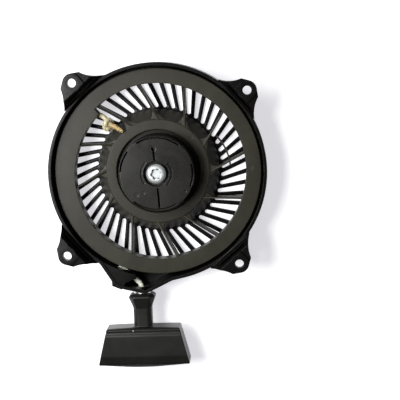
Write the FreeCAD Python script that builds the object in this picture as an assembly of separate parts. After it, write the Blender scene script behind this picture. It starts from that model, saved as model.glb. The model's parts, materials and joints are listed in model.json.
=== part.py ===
import FreeCAD, Part
import math
import os

from FreeCAD import Vector

# Recoil starter for a small vertical-shaft engine.
# Millimetres. The origin is on the pulley axis, in the plane of the four mounting ears.
# +Z points to the engine. The closed outer face lies at -Z, and the handle is pulled towards -Y.

# Mounting ears
EAR_PCD = 164.0
EAR_HOLE_R = 2.9
EAR_LOBE_R = 6.5
EAR_PAD_HALF = 6.2
EAR_PAD_DEPTH = 4.5
EAR_POCKET_Z = -15.0
EAR_COUNT = 4
EAR_FIRST_ANGLE = 45.0

# Housing
HOUSING_R = 74.0
HOUSING_WALL = 2.3
HOUSING_TOP_Z = -9.5
HOUSING_BACK_Z = -38.0
PLATE_INNER_Z = -34.5
VENT_RECESS = 0.8
CENTRE_DISC_R = 42.0
VENT_COUNT = 48
VENT_INNER_R = 42.9
VENT_OUTER_R = 63.0
VENT_INNER_HALF = 1.25
VENT_OUTER_HALF = 2.35
VENT_STEP = 0.45
VENT_TANGENT_R = 20.3
VENT_FIRST_ANGLE = -57.7
POST_R = 5.45
POST_COLLAR_R = 9.6
POST_COLLAR_TOP_Z = -27.0
POST_TOP_Z = -8.2
BLOCK_TOP_Z = -10.0
FOOT_TOP_Z = -17.0
FOOT_HEIGHT = 13.0

# Pulley
RIM_OUTER_R = 70.2
RIM_INNER_R = 59.9
GROOVE_R = 61.6
RIM_TOP_Z = -15.5
FLANGE = 1.8
GROOVE_WIDTH = 7.8
RIM_BOTTOM_Z = RIM_TOP_Z - 2 * FLANGE - GROOVE_WIDTH
WIDE_RIM = ((55.5, 137.5), (57.1, 200.0), (59.9, 262.0))
SPOKE_COUNT = 12
SPOKE_HALF = 0.65
SPOKE_TANGENT_R = 18.0
SPOKE_FIRST_ANGLE = -57.8
HUB_RING_OUTER_R = 35.6
HUB_RING_INNER_R = 28.3
HUB_RING_TOP_Z = -19.5
FLARE_TOP_Z = -21.5
FLARE_R = 41.8
FLARE_FOOT_Z = -33.2
FLARE_WALL = 2.2
SKIRT_R = 35.2
SKIRT_TOP_Z = -25.0
SPRING_CAVITY_R = 32.6
SPRING_CEILING_Z = -26.5
MOAT_FLOOR_Z = -24.0
PULLEY_BOTTOM_Z = -33.7
DRUM_R = 25.6
DRUM_INNER_R = 24.2
DRUM_TOP_Z = -4.1
PAWL_WINDOW = 54.0
DRUM_FLOOR_Z = -9.5
DRUM_FLOOR = 2.5
HUB_TUBE_R = 10.0
PULLEY_BORE_R = 7.05

# Pawls and friction plate
PAWL_PIVOT_R = 19.0
PAWL_PIVOT_ANGLE = -26.0
PAWL_PIN_R = 2.2
PAWL_BORE_R = 2.27
PAWL_BOSS_R = 3.8
PAWL_TIP_R = 22.5
PAWL_TIP_ANGLE = 30.0
PAWL_HALF_WIDTH = 2.2
PAWL_BOTTOM_Z = -9.2
PAWL_TOP_Z = -4.4
PAWL_SWING = -16.0
PLATE_TURN = -18.0
DRIVE_PIN_R = 1.2
DRIVE_PIN_REACH = 14.0
DRIVE_PIN_ANGLE = 2.0
PLATE_R = 25.4
PLATE_SLOTS = ((53.7, 124.9), (145.2, 198.2), (-17.8, 18.2), (232.9, 306.2))
PLATE_SLOT_R = (23.6, 24.8)
PLATE_GROOVE_R = (9.7, 10.9)
PLATE_HUB_R = 9.6
PLATE_HUB_UNDER_Z = -6.5
PLATE_HUB_TOP_Z = -5.1
SLIT = 1.15
GROOVE_DEPTH = 0.8
PLATE_TOP_Z = -2.4
PLATE_UNDER_Z = -3.9

# Centre screw and its sleeve
SLEEVE_R = 7.0
SCREW_HEAD_R = 6.6
SCREW_HEAD_UNDER_Z = -2.4
SCREW_SHOULDER_R = 4.2
SCREW_SHANK_R = 2.5
SCREW_END_Z = -23.0

# Rope and handle
ROPE_R = 1.8
ROPE_Z = -21.2
LEAVE_ANGLE = 231.0
LEAVE_R = 67.05
BEND_R = 8.5
GUIDE_R = 4.6
PASSAGE_START = (64.0, 144.0)
PASSAGE_END = (54.0, 136.2)
KNOT_PLACE = (46.2, 139.3, ROPE_Z + 0.8)
TAIL_PLACE = (35.2, 133.0, ROPE_Z + 4.6)
KNOT_R = 4.1
KNOT_BEND_R = 2.5
TUNNEL_R = 3.0
HANDLE_TILT = 4.3
MOUTH = Vector(-8.2, -85.2, ROPE_Z)
NECK_LENGTH = 22.9
HANDLE_LENGTH = 50.9
GRIP_TOP_HALF = 25.3
GRIP_BOTTOM_HALF = 31.7
GRIP_HALF_DEPTH = 10.0
GRIP_SHOULDER = 48.9
NECK_SECTIONS = ((7.4, 2.6, 0.0), (9.3, 3.4, 1.7), (6.4, 2.5, 9.4), (6.3, 2.4, 24.0))

Z_AXIS = Vector(0, 0, 1)
ORIGIN = Vector(0, 0, 0)
HANDLE_DIR = Vector(math.sin(math.radians(HANDLE_TILT)), -math.cos(math.radians(HANDLE_TILT)), 0)


def polar(radius, degrees, z=0.0):
    """Point at a radius and an angle about the pulley axis."""
    turn = math.radians(degrees)
    return Vector(radius * math.cos(turn), radius * math.sin(turn), z)


def disc(radius, low, high, centre=ORIGIN):
    """Upright cylinder between two heights."""
    return Part.makeCylinder(radius, high - low, Vector(centre.x, centre.y, low))


def tube(outer, inner, low, high, centre=ORIGIN):
    """Upright hollow cylinder."""
    return disc(outer, low, high, centre).cut(disc(inner, low - 1, high + 1, centre))


def polygon(points):
    """Flat face with straight sides."""
    closed = list(points) + [points[0]]
    return Part.Face(Part.makePolygon(closed))


def prism(points, low, high):
    """Upright prism over a flat outline given as (x, y) pairs."""
    face = polygon([Vector(x, y, low) for x, y in points])
    return face.extrude(Vector(0, 0, high - low))


def arc(first, middle, last):
    """Edge along the arc through three points."""
    return Part.Arc(first, middle, last).toShape()


def face_of(edges):
    """Flat face inside joined edges."""
    return Part.Face(Part.Wire(Part.__sortEdges__(edges)))


def revolve(points):
    """Ring swept once round the pulley axis from (r, z) pairs."""
    face = polygon([Vector(r, 0, z) for r, z in points])
    return face.revolve(ORIGIN, Z_AXIS, 360)


def sector(outer, inner, low, high, first, last):
    """Part of a ring between two angles."""
    angles = (first, (first + last) / 2, last)
    far = [polar(outer, angle, low) for angle in angles]
    near = [polar(inner, angle, low) for angle in angles]
    edges = [arc(*far), arc(*near), Part.makeLine(far[0], near[0]), Part.makeLine(far[2], near[2])]
    return face_of(edges).extrude(Vector(0, 0, high - low))


def turned(shape, degrees, about=ORIGIN):
    """Copy of a shape turned about an upright axis."""
    copy = shape.copy()
    copy.rotate(about, Z_AXIS, degrees)
    return copy


def around(shape, count, first=0.0):
    """Equal copies of a shape round the pulley axis."""
    return [turned(shape, first + 360.0 * k / count) for k in range(count)]


def reach(radius, tangent_r):
    """Distance along a line tangent to a circle at which it meets a larger radius."""
    return math.sqrt(radius ** 2 - tangent_r ** 2)


def fuse(shapes):
    """Union of several solids."""
    whole = shapes[0].multiFuse(shapes[1:])
    return whole.removeSplitter()


def along_handle(shape):
    """Carry a shape from the handle's own axes (+Y along the pull) to its place."""
    placed = shape.copy()
    placed.rotate(ORIGIN, Z_AXIS, 180 + HANDLE_TILT)
    placed.translate(MOUTH)
    return placed


def rope_leaving():
    """Point where the rope leaves the pulley, and its heading there."""
    return polar(LEAVE_R, LEAVE_ANGLE, ROPE_Z), polar(1.0, LEAVE_ANGLE + 90.0)


def vent_slot(widening, low, high):
    """One leaning wedge-shaped slot with a round inner end."""
    start = reach(VENT_INNER_R + VENT_INNER_HALF, VENT_TANGENT_R)
    end = reach(VENT_OUTER_R, VENT_TANGENT_R)
    near = VENT_INNER_HALF + widening
    far = VENT_OUTER_HALF + widening
    x = VENT_TANGENT_R
    edges = [
        Part.makeLine(Vector(x - near, start, low), Vector(x - far, end, low)),
        Part.makeLine(Vector(x - far, end, low), Vector(x + far, end, low)),
        Part.makeLine(Vector(x + far, end, low), Vector(x + near, start, low)),
        arc(Vector(x + near, start, low), Vector(x, start - near, low), Vector(x - near, start, low)),
    ]
    return face_of(edges).extrude(Vector(0, 0, high - low))


def nose_outline(inset):
    """Rope outlet nose on the housing's rim, moved in by a wall's thickness."""
    left = -37.5 + inset * 1.2
    return [
        (left, -60.0),
        (left + 0.6, -64.2),
        (-26.9 + inset * 0.8, -78.0 + inset * 0.6),
        (-20.6 + inset * 0.2, -81.0 + inset),
        (-14.2, -82.0 + inset),
        (-5.2, -83.3 + inset),
        (-1.6, -81.6 + inset),
        (12.7, -73.4 + inset),
        (24.0, -69.9 + inset),
        (24.0, -60.0),
    ]


def outlet_block():
    """Solid corner of the nose beside the outlet, with its foot; the rope's tunnel runs through it."""
    outline = [
        (-37.0, -60.0),
        (-36.6, -64.0),
        (-26.4, -77.6),
        (-20.6, -80.8),
        (-19.1, -76.8),
        (-12.1, -73.1),
        (-12.1, -60.0),
    ]
    room = disc(HOUSING_R - HOUSING_WALL - 0.1, -50, 0)
    foot = [(-30.0, -72.0), (-28.9, -80.7), (-22.1, -83.0), (-19.8, -78.0)]
    block = prism(outline, HOUSING_BACK_Z + 5.0, BLOCK_TOP_Z).cut(room)
    block = block.fuse(prism(foot, FOOT_TOP_Z - FOOT_HEIGHT, FOOT_TOP_Z))
    leave, heading = rope_leaving()
    tunnel = Part.makeCylinder(TUNNEL_R, 30.0, leave + heading * 15.0, heading)
    return block.cut(tunnel)


def ear_outline(low, high):
    """Web of one ear with its two shoulders and hollow flanks, pointing along +X."""
    hole = EAR_PCD / 2
    shoulder = Vector(hole + 2.4, 8.3, low)
    waist = Vector(hole - 4.6, 12.2, low)
    root = polar(HOUSING_R - 0.2, 18.0, low)
    lobe = polar(EAR_LOBE_R, 33.0, low) + Vector(hole, 0, 0)
    mirror = [Vector(p.x, -p.y, p.z) for p in (shoulder, waist, root, lobe)]
    edges = [
        arc(root, waist, shoulder),
        Part.makeLine(shoulder, lobe),
        arc(lobe, Vector(hole + EAR_LOBE_R, 0, low), mirror[3]),
        Part.makeLine(mirror[3], mirror[0]),
        arc(mirror[0], mirror[1], mirror[2]),
        arc(mirror[2], Vector(HOUSING_R - 1.6, 0, low), root),
    ]
    return face_of(edges).extrude(Vector(0, 0, high - low))


def ear():
    """One mounting ear: a bracket-shaped web with a raised pad round the hole, along +X."""
    hole = EAR_PCD / 2
    side = [
        (hole + 9.0, -1.6),
        (hole + 9.0, -4.6),
        (hole - 1.0, -6.0),
        (hole - 9.6, -27.0),
        (hole - 9.6, HOUSING_TOP_Z),
        (hole - 5.5, -1.6),
    ]
    profile = polygon([Vector(x, -26, z) for x, z in side]).extrude(Vector(0, 52, 0))
    web = ear_outline(-30, 2).common(profile)
    corner = Vector(hole - 5.6, -EAR_PAD_HALF, -EAR_PAD_DEPTH)
    pad = fuse([
        disc(EAR_LOBE_R - 0.3, -EAR_PAD_DEPTH, 0, Vector(hole, 0, 0)),
        Part.makeBox(5.6, 2 * EAR_PAD_HALF, EAR_PAD_DEPTH, corner),
    ])
    trench = [(hole - 7.9, -13.5), (hole - 7.9, 13.5), (hole - 6.6, 9.0), (hole - 6.6, -9.0)]
    pocket = prism(trench, EAR_POCKET_Z, 5)
    return web.fuse(pad).cut(pocket).cut(disc(EAR_HOLE_R, -40, 5, Vector(hole, 0, 0)))


def housing_shell():
    """Round case with a slotted floor, four ears, the rope nose and the centre post."""
    back_edge = HOUSING_BACK_Z
    case = revolve([
        (0, back_edge + 0.6),
        (28.0, back_edge + 0.6),
        (28.6, back_edge),
        (CENTRE_DISC_R - 0.6, back_edge),
        (CENTRE_DISC_R, back_edge + VENT_RECESS),
        (VENT_OUTER_R + 1.6, back_edge + VENT_RECESS),
        (VENT_OUTER_R + 2.2, back_edge),
        (HOUSING_R - 5.0, back_edge),
        (HOUSING_R - 1.6, back_edge + 1.5),
        (HOUSING_R, back_edge + 5.0),
        (HOUSING_R, HOUSING_TOP_Z),
        (0, HOUSING_TOP_Z),
    ])
    nose = prism(nose_outline(0.0), back_edge + 4.0, HOUSING_TOP_Z)
    room = disc(HOUSING_R - HOUSING_WALL, PLATE_INNER_Z, 0)
    nose_room = prism(nose_outline(HOUSING_WALL), PLATE_INNER_Z + 4.0, 0)
    guide_boss = along_handle(Part.makeCylinder(5.6, 6.2, Vector(0, -5.0, 0), Vector(0, 1, 0)))
    guide_hole = along_handle(Part.makeCylinder(GUIDE_R + 0.05, 14.0, Vector(0, -10.0, 0), Vector(0, 1, 0)))
    handle_seat = along_handle(Part.makeBox(40, 20, 40, Vector(-20, -1.9, -20)))
    root = PLATE_INNER_Z - 0.5
    post = disc(POST_R, root, POST_TOP_Z).fuse(disc(POST_COLLAR_R, root, POST_COLLAR_TOP_Z))
    rib = Part.makeBox(2.0, 1.6, 6.0, Vector(HOUSING_R - HOUSING_WALL - 0.6, -0.8, root))
    ribs = around(rib, 24, 7.5)
    shell = fuse([case, nose]).cut(fuse([room, nose_room]))
    shell = shell.fuse([post] + ribs + around(ear(), EAR_COUNT, EAR_FIRST_ANGLE))
    shell = shell.fuse(guide_boss.common(prism([(-20, -90), (8, -90), (8, -76), (-20, -76)], -40, 0)))
    shell = shell.fuse(outlet_block())
    shell = shell.cut(Part.makeCompound([guide_hole, handle_seat]))
    slots = around(vent_slot(0.0, back_edge - 1, PLATE_INNER_Z + 1), VENT_COUNT, VENT_FIRST_ANGLE)
    step = vent_slot(VENT_STEP, PLATE_INNER_Z - 1.2, PLATE_INNER_Z + 1)
    steps = around(step, VENT_COUNT, VENT_FIRST_ANGLE)
    shell = shell.cut(Part.makeCompound(slots)).cut(Part.makeCompound(steps))
    bore = disc(3.8, SCREW_END_Z - 2.0, 0)
    return shell.cut(bore)


def rope_guide():
    """Smooth steel eyelet with round lips and a flange on the nose's face."""
    back = -5.0
    front = -0.5
    flange = front - 1.4
    flange_r = 6.0
    bore = 3.0
    lip = 1.2
    bulge = 0.35
    wide = bore + lip
    profile = [
        Part.makeLine(Vector(bore, back + lip, 0), Vector(bore, front - lip, 0)),
        arc(Vector(bore, front - lip, 0), Vector(bore + bulge, front - bulge, 0), Vector(wide, front, 0)),
        Part.makeLine(Vector(wide, front, 0), Vector(flange_r, front, 0)),
        Part.makeLine(Vector(flange_r, front, 0), Vector(flange_r, flange, 0)),
        Part.makeLine(Vector(flange_r, flange, 0), Vector(GUIDE_R, flange, 0)),
        Part.makeLine(Vector(GUIDE_R, flange, 0), Vector(GUIDE_R, back, 0)),
        Part.makeLine(Vector(GUIDE_R, back, 0), Vector(wide, back, 0)),
        arc(Vector(wide, back, 0), Vector(bore + bulge, back + bulge, 0), Vector(bore, back + lip, 0)),
    ]
    return along_handle(face_of(profile).revolve(ORIGIN, Vector(0, 1, 0), 360))


def spoke():
    """One slanted blade between the hub ring and the rim, tangent to a small circle."""
    inner = reach(HUB_RING_OUTER_R - 1.2, SPOKE_TANGENT_R)
    outer = reach(RIM_INNER_R + 0.6, SPOKE_TANGENT_R)
    x = SPOKE_TANGENT_R - SPOKE_HALF
    side = polygon([
        Vector(x, inner, HUB_RING_TOP_Z - 0.5),
        Vector(x, outer, RIM_TOP_Z - 1.0),
        Vector(x, outer, RIM_BOTTOM_Z),
        Vector(x, inner, RIM_BOTTOM_Z - 2.0),
    ])
    blade = side.extrude(Vector(2 * SPOKE_HALF, 0, 0))
    middle = SPOKE_TANGENT_R
    low = RIM_BOTTOM_Z
    foot = [Vector(middle - 6.5, 32.6, low), Vector(middle + 5.5, 26.0, low)]
    tip = [Vector(middle - SPOKE_HALF, 40.5, low), Vector(middle + SPOKE_HALF, 38.5, low)]
    root = face_of([
        arc(foot[0], Vector(middle - 1.9, 35.6, low), tip[0]),
        Part.makeLine(tip[0], tip[1]),
        arc(tip[1], Vector(middle + 1.9, 32.2, low), foot[1]),
        Part.makeLine(foot[1], foot[0]),
    ]).extrude(Vector(0, 0, HUB_RING_TOP_Z - 0.5 - low))
    return blade.fuse(root)


def passage(radius):
    """Round bar along the slanted hole that the rope takes from the groove to the knot's pocket."""
    start = polar(*PASSAGE_START, ROPE_Z)
    end = polar(*PASSAGE_END, ROPE_Z)
    return Part.makeCylinder(radius, (end - start).Length, start, end - start)


def rim_widening():
    """Crescent inside the rim, widest at its abrupt end by the rope's hole."""
    low = RIM_BOTTOM_Z
    inner = [polar(r, angle, low) for r, angle in WIDE_RIM]
    outer = [polar(RIM_INNER_R + 0.6, angle, low) for r, angle in WIDE_RIM]
    face = face_of([
        arc(inner[0], inner[1], inner[2]),
        Part.makeLine(inner[2], outer[2]),
        arc(outer[0], outer[1], outer[2]),
        Part.makeLine(outer[0], inner[0]),
    ])
    return face.extrude(Vector(0, 0, RIM_TOP_Z - low))


def cross_rib():
    """Low curved rib between two spokes."""
    spots = ((46.4, 33.0), (48.4, 20.5), (49.3, 7.0))
    inner = [polar(r - 0.5, angle, -24.5) for r, angle in spots]
    outer = [polar(r + 0.5, angle, -24.5) for r, angle in spots]
    ends = [Part.makeLine(inner[k], outer[k]) for k in (0, 2)]
    return face_of([arc(*inner), arc(*outer)] + ends).extrude(Vector(0, 0, 5.5))


def rope_pulley():
    """One moulding: grooved rim, slanted spokes, hub ring, spring cavity and pawl drum."""
    rim = revolve([
        (RIM_INNER_R, RIM_BOTTOM_Z),
        (RIM_OUTER_R, RIM_BOTTOM_Z),
        (RIM_OUTER_R, RIM_BOTTOM_Z + FLANGE),
        (GROOVE_R, RIM_BOTTOM_Z + FLANGE),
        (GROOVE_R, RIM_TOP_Z - FLANGE),
        (RIM_OUTER_R, RIM_TOP_Z - FLANGE),
        (RIM_OUTER_R, RIM_TOP_Z - 0.4),
        (RIM_OUTER_R - 0.4, RIM_TOP_Z),
        (RIM_INNER_R, RIM_TOP_Z),
    ])
    hub = revolve([
        (PULLEY_BORE_R, SPRING_CEILING_Z),
        (HUB_TUBE_R, SPRING_CEILING_Z),
        (HUB_TUBE_R, DRUM_FLOOR_Z - DRUM_FLOOR),
        (DRUM_INNER_R - 1.4, DRUM_FLOOR_Z - DRUM_FLOOR),
        (DRUM_INNER_R - 1.4, SPRING_CEILING_Z),
        (SPRING_CAVITY_R, SPRING_CEILING_Z),
        (SPRING_CAVITY_R, PULLEY_BOTTOM_Z),
        (SKIRT_R, PULLEY_BOTTOM_Z),
        (SKIRT_R, SKIRT_TOP_Z),
        (FLARE_R - FLARE_WALL, FLARE_FOOT_Z),
        (FLARE_R, FLARE_FOOT_Z),
        (HUB_RING_OUTER_R, FLARE_TOP_Z),
        (HUB_RING_OUTER_R, HUB_RING_TOP_Z - 0.5),
        (HUB_RING_OUTER_R - 0.5, HUB_RING_TOP_Z),
        (HUB_RING_INNER_R + 0.5, HUB_RING_TOP_Z),
        (HUB_RING_INNER_R, HUB_RING_TOP_Z - 0.5),
        (HUB_RING_INNER_R, MOAT_FLOOR_Z),
        (DRUM_R, MOAT_FLOOR_Z),
        (DRUM_R, DRUM_TOP_Z - 0.3),
        (DRUM_R - 0.3, DRUM_TOP_Z),
        (DRUM_INNER_R, DRUM_TOP_Z),
        (DRUM_INNER_R, DRUM_FLOOR_Z),
        (PULLEY_BORE_R, DRUM_FLOOR_Z),
    ])
    rib_length = DRUM_INNER_R - 1.0 - HUB_TUBE_R
    rib = Part.makeBox(rib_length, 1.6, 14.7, Vector(HUB_TUBE_R - 0.4, -0.8, SPRING_CEILING_Z))
    pins = [disc(PAWL_PIN_R, DRUM_FLOOR_Z - 0.5, -4.2, polar(PAWL_PIVOT_R, PAWL_PIVOT_ANGLE + half))
            for half in (0, 180)]
    spokes = around(spoke(), SPOKE_COUNT, SPOKE_FIRST_ANGLE)
    body = fuse([rim, hub, rim_widening(), cross_rib()] + pins + around(rib, 6) + spokes)
    openings = [passage(ROPE_R + 0.4)]
    for half in (0, 180):
        openings.append(sector(DRUM_R + 1, DRUM_INNER_R - 0.4, DRUM_FLOOR_Z, 0, half, half + PAWL_WINDOW))
        hook = Part.makeBox(2.5, 1.6, 6.4, Vector(SPRING_CAVITY_R - 0.5, -0.8, PULLEY_BOTTOM_Z + 0.8))
        openings.append(turned(hook, half))
    return body.cut(Part.makeCompound(openings))


def spring_keeper():
    """Thin steel ring that closes the spring cavity."""
    keeper = tube(SPRING_CAVITY_R - 0.05, 14.0, PULLEY_BOTTOM_Z, PULLEY_BOTTOM_Z + 0.6)
    holes = around(disc(2.0, -40, 0, Vector(23.0, 0, 0)), 6, 30)
    return keeper.cut(Part.makeCompound(holes))


def recoil_spring():
    """Flat spiral of spring steel, drawn as growing half circles, hooked to the post and the pulley."""
    strip = 0.5
    pitch = 1.6
    turns = 12
    low = PULLEY_BOTTOM_Z + 1.1
    height = 5.6
    radius = POST_COLLAR_R + 1.8
    centre = 0.0
    edges = []
    ends = []
    for k in range(2 * turns):
        side = 1 if k % 2 == 0 else -1
        for r in (radius + strip / 2, radius - strip / 2):
            first = Vector(centre + side * r, 0, low)
            last = Vector(centre - side * r, 0, low)
            edges.append(arc(first, Vector(centre, side * r, low), last))
            if k == 0:
                ends.append(first)
            if k == 2 * turns - 1:
                ends.append(last)
        centre = centre + side * pitch / 4
        radius = radius + pitch / 4
    edges.append(Part.makeLine(ends[0], ends[1]))
    edges.append(Part.makeLine(ends[2], ends[3]))
    coil = face_of(edges).extrude(Vector(0, 0, height))
    inner_hook = Part.makeBox(1.9, strip, height, Vector(POST_COLLAR_R + 0.05, -strip / 2, low))
    outer_start = ends[3].x
    outer_hook = Part.makeBox(34.4 - outer_start, strip, height, Vector(outer_start, -strip / 2, low))
    return fuse([coil, inner_hook, outer_hook])


def pawl_local():
    """Pawl A: boss on its pin, arm to the tip and lug with the drive slot."""
    pivot = polar(PAWL_PIVOT_R, PAWL_PIVOT_ANGLE)
    tip = polar(PAWL_TIP_R, PAWL_TIP_ANGLE)
    run = tip - pivot
    run.normalize()
    out = Vector(run.y, -run.x, 0)
    w = PAWL_HALF_WIDTH
    corners = [
        pivot + out * (w + 0.8),
        tip - run * 6.0 + out * w,
        tip + out * w,
        tip - run * 2.6 - out * w,
        pivot - out * (w + 0.8),
    ]
    arm = prism([(p.x, p.y) for p in corners], PAWL_BOTTOM_Z, PAWL_TOP_Z)
    slot_half = DRIVE_PIN_R + 0.15
    path = []
    steps = 6
    for k in range(steps + 1):
        share = k / steps
        pin = polar(DRIVE_PIN_REACH, DRIVE_PIN_ANGLE + share * PLATE_TURN)
        spot = Part.Vertex(pin)
        spot.rotate(pivot, Z_AXIS, -share * PAWL_SWING)
        path.append(spot.Point)
    lug = [disc(slot_half + 1.4, PAWL_BOTTOM_Z, PAWL_TOP_Z, p) for p in (path[0], path[-1])]
    web = [path[0] + Vector(0, 2.75, 0), path[0] + Vector(6.0, 4.0, 0), pivot + Vector(1.0, 3.0, 0),
           pivot + Vector(-2.0, -3.0, 0), path[-1] + Vector(-1.2, -2.4, 0), path[-1] + Vector(-2.7, 0.5, 0),
           path[0] + Vector(-2.7, -0.4, 0)]
    lug.append(prism([(p.x, p.y) for p in web], PAWL_BOTTOM_Z, PAWL_TOP_Z))
    body = fuse([disc(PAWL_BOSS_R, PAWL_BOTTOM_Z, PAWL_TOP_Z, pivot), arm] + lug)
    slots = [disc(slot_half, -12, 0, p) for p in path]
    for a, b in zip(path, path[1:]):
        side = b - a
        side.normalize()
        across = Vector(-side.y, side.x, 0) * slot_half
        slots.append(prism([(p.x, p.y) for p in (a + across, b + across, b - across, a - across)], -12, 0))
    bore = disc(PAWL_BORE_R, -12, 0, pivot)
    return body.cut(fuse(slots)).cut(bore)


def friction_plate():
    """Slit disc with a sunk hub and two pins that drive the pawls."""
    plate = revolve([
        (SCREW_SHOULDER_R + 0.2, PLATE_HUB_UNDER_Z),
        (PLATE_HUB_R, PLATE_HUB_UNDER_Z),
        (PLATE_HUB_R, PLATE_UNDER_Z),
        (PLATE_R, PLATE_UNDER_Z),
        (PLATE_R, PLATE_TOP_Z - 0.3),
        (PLATE_R - 0.3, PLATE_TOP_Z),
        (PLATE_HUB_R - 1.0, PLATE_TOP_Z),
        (PLATE_HUB_R - 1.2, PLATE_HUB_TOP_Z),
        (SCREW_SHOULDER_R + 0.2, PLATE_HUB_TOP_Z),
    ])
    pins = [disc(DRIVE_PIN_R, -9.0, PLATE_UNDER_Z + 0.5, polar(DRIVE_PIN_REACH, DRIVE_PIN_ANGLE + half))
            for half in (0, 180)]
    near, far = PLATE_GROOVE_R
    grooves = around(sector(far, near, PLATE_TOP_Z - GROOVE_DEPTH, 0, -45, 45), 2)
    near, far = PLATE_SLOT_R
    slots = [sector(far, near, -8, 0, first, last) for first, last in PLATE_SLOTS]
    top_slit = Part.makeBox(SLIT, 8.2, 12, Vector(-SLIT / 2, 8.9, -8))
    top_slit.rotate(ORIGIN, Z_AXIS, 9.5)
    bottom_slit = Part.makeBox(SLIT, 14.4, 12, Vector(-SLIT / 2, -24.2, -8))
    bottom_slit.rotate(ORIGIN, Z_AXIS, 7.5)
    keyhole = disc(0.9, -8, 0, polar(17.0, 101.0))
    body = fuse([plate] + pins).cut(Part.makeCompound(grooves))
    return body.cut(Part.makeCompound([top_slit.fuse(keyhole), bottom_slit.fuse(slots[-1])] + slots[:-1]))


def friction_spring():
    """Short round-wire coil between the screw's flange and the plate."""
    wire_r = 0.35
    mean_r = 5.4
    pitch = 0.95
    heights = [PLATE_HUB_TOP_Z + 0.4 + k * pitch for k in range(3)]
    rings = [Part.makeTorus(mean_r, wire_r, Vector(0, 0, height)) for height in heights]
    posts = [disc(0.3, heights[k] - 0.05, heights[k + 1] + 0.05, polar(mean_r, 180.0 * k)) for k in range(2)]
    return fuse(rings + posts)


def screw_recess():
    """Six-lobed driver recess."""
    lobes = around(disc(1.05, -1.9, 1, Vector(2.75, 0, 0)), 6, 12)
    return fuse([disc(3.05, -1.9, 1)] + lobes)


def center_screw():
    """Flanged screw with a shoulder that the friction plate turns on."""
    body = revolve([
        (0, SCREW_END_Z),
        (SCREW_SHANK_R - 0.6, SCREW_END_Z),
        (SCREW_SHANK_R, SCREW_END_Z + 0.7),
        (SCREW_SHANK_R, -8.0),
        (SCREW_SHOULDER_R, -8.0),
        (SCREW_SHOULDER_R, SCREW_HEAD_UNDER_Z),
        (SCREW_HEAD_R, SCREW_HEAD_UNDER_Z),
        (SCREW_HEAD_R, SCREW_HEAD_UNDER_Z + 0.8),
        (SCREW_HEAD_R - 1.0, -0.5),
        (4.6, -0.1),
        (0, 0),
    ])
    return body.cut(screw_recess())


def rope_wound():
    """Two layers of two turns on the pulley, as one ring with round flanks."""
    low = ROPE_Z - GROOVE_WIDTH / 2 + 0.1
    high = ROPE_Z + GROOVE_WIDTH / 2 - 0.1
    middle = (low + high) / 2
    outer = LEAVE_R + ROPE_R
    round_r = (high - low) / 4
    crest = outer - round_r
    edges = [
        Part.makeLine(Vector(GROOVE_R + 0.05, 0, low), Vector(crest, 0, low)),
        arc(Vector(crest, 0, low), Vector(outer, 0, low + round_r), Vector(crest, 0, middle)),
        arc(Vector(crest, 0, middle), Vector(outer, 0, high - round_r), Vector(crest, 0, high)),
        Part.makeLine(Vector(crest, 0, high), Vector(GROOVE_R + 0.05, 0, high)),
        Part.makeLine(Vector(GROOVE_R + 0.05, 0, high), Vector(GROOVE_R + 0.05, 0, low)),
    ]
    return face_of(edges).revolve(ORIGIN, Z_AXIS, 360)


def rope_along(points, bend):
    """Rope through the points: straight runs joined by arcs of one bend radius."""
    edges = []
    here = points[0]
    for before, corner, after in zip(points, points[1:], points[2:]):
        into = (corner - before).normalize()
        out = (after - corner).normalize()
        half_turn = into.getAngle(out) / 2
        first = corner - into * (bend * math.tan(half_turn))
        last = corner + out * (bend * math.tan(half_turn))
        inward = (out - into).normalize()
        edges.append(Part.makeLine(here, first))
        edges.append(arc(first, corner + inward * (bend / math.cos(half_turn) - bend), last))
        here = last
    edges.append(Part.makeLine(here, points[-1]))
    path = Part.Wire(edges)
    section = Part.Wire([Part.makeCircle(ROPE_R, points[0], points[1] - points[0])])
    rope = path.makePipeShell([section], True, False)
    ratio = rope.Volume / (path.Length * math.pi * ROPE_R ** 2)
    print("rope length", round(path.Length, 2), "bend radius", bend, "volume ratio", round(ratio, 4))
    return rope


def rope_lead():
    """Rope from the pulley's edge through the tunnel and round the guide's lip to the outlet."""
    leave, heading = rope_leaving()
    gap = MOUTH - leave
    cross = heading.x * HANDLE_DIR.y - heading.y * HANDLE_DIR.x
    to_corner = (gap.x * HANDLE_DIR.y - gap.y * HANDLE_DIR.x) / cross
    start = leave + heading * reach(RIM_OUTER_R + 0.6, LEAVE_R)
    return rope_along([start, leave + heading * to_corner, MOUTH], BEND_R)


def pulley_knot():
    """Rope end out of the slanted hole, with its knot and singed tail."""
    hole_start = polar(*PASSAGE_START, ROPE_Z)
    hole_end = polar(*PASSAGE_END, ROPE_Z)
    heading = (hole_end - hole_start).normalize()
    knot_centre = polar(*KNOT_PLACE)
    tail_end = polar(*TAIL_PLACE)
    route = [hole_start + heading * 4.9, hole_end + heading * 1.3, knot_centre, tail_end]
    rope = rope_along(route, KNOT_BEND_R)
    ball = Part.makeSphere(KNOT_R, knot_centre, tail_end - knot_centre)
    return rope.fuse(ball)


def handle_section(half, chamfer, at):
    """Eight-sided outline across the handle's axis."""
    flat = half - chamfer
    right = [(flat, -half), (half, -flat), (half, flat), (flat, half)]
    left = [(-x, z) for x, z in reversed(right)]
    closed = [Vector(x, at, z) for x, z in right + left]
    return Part.makePolygon(closed + [closed[0]])


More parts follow.
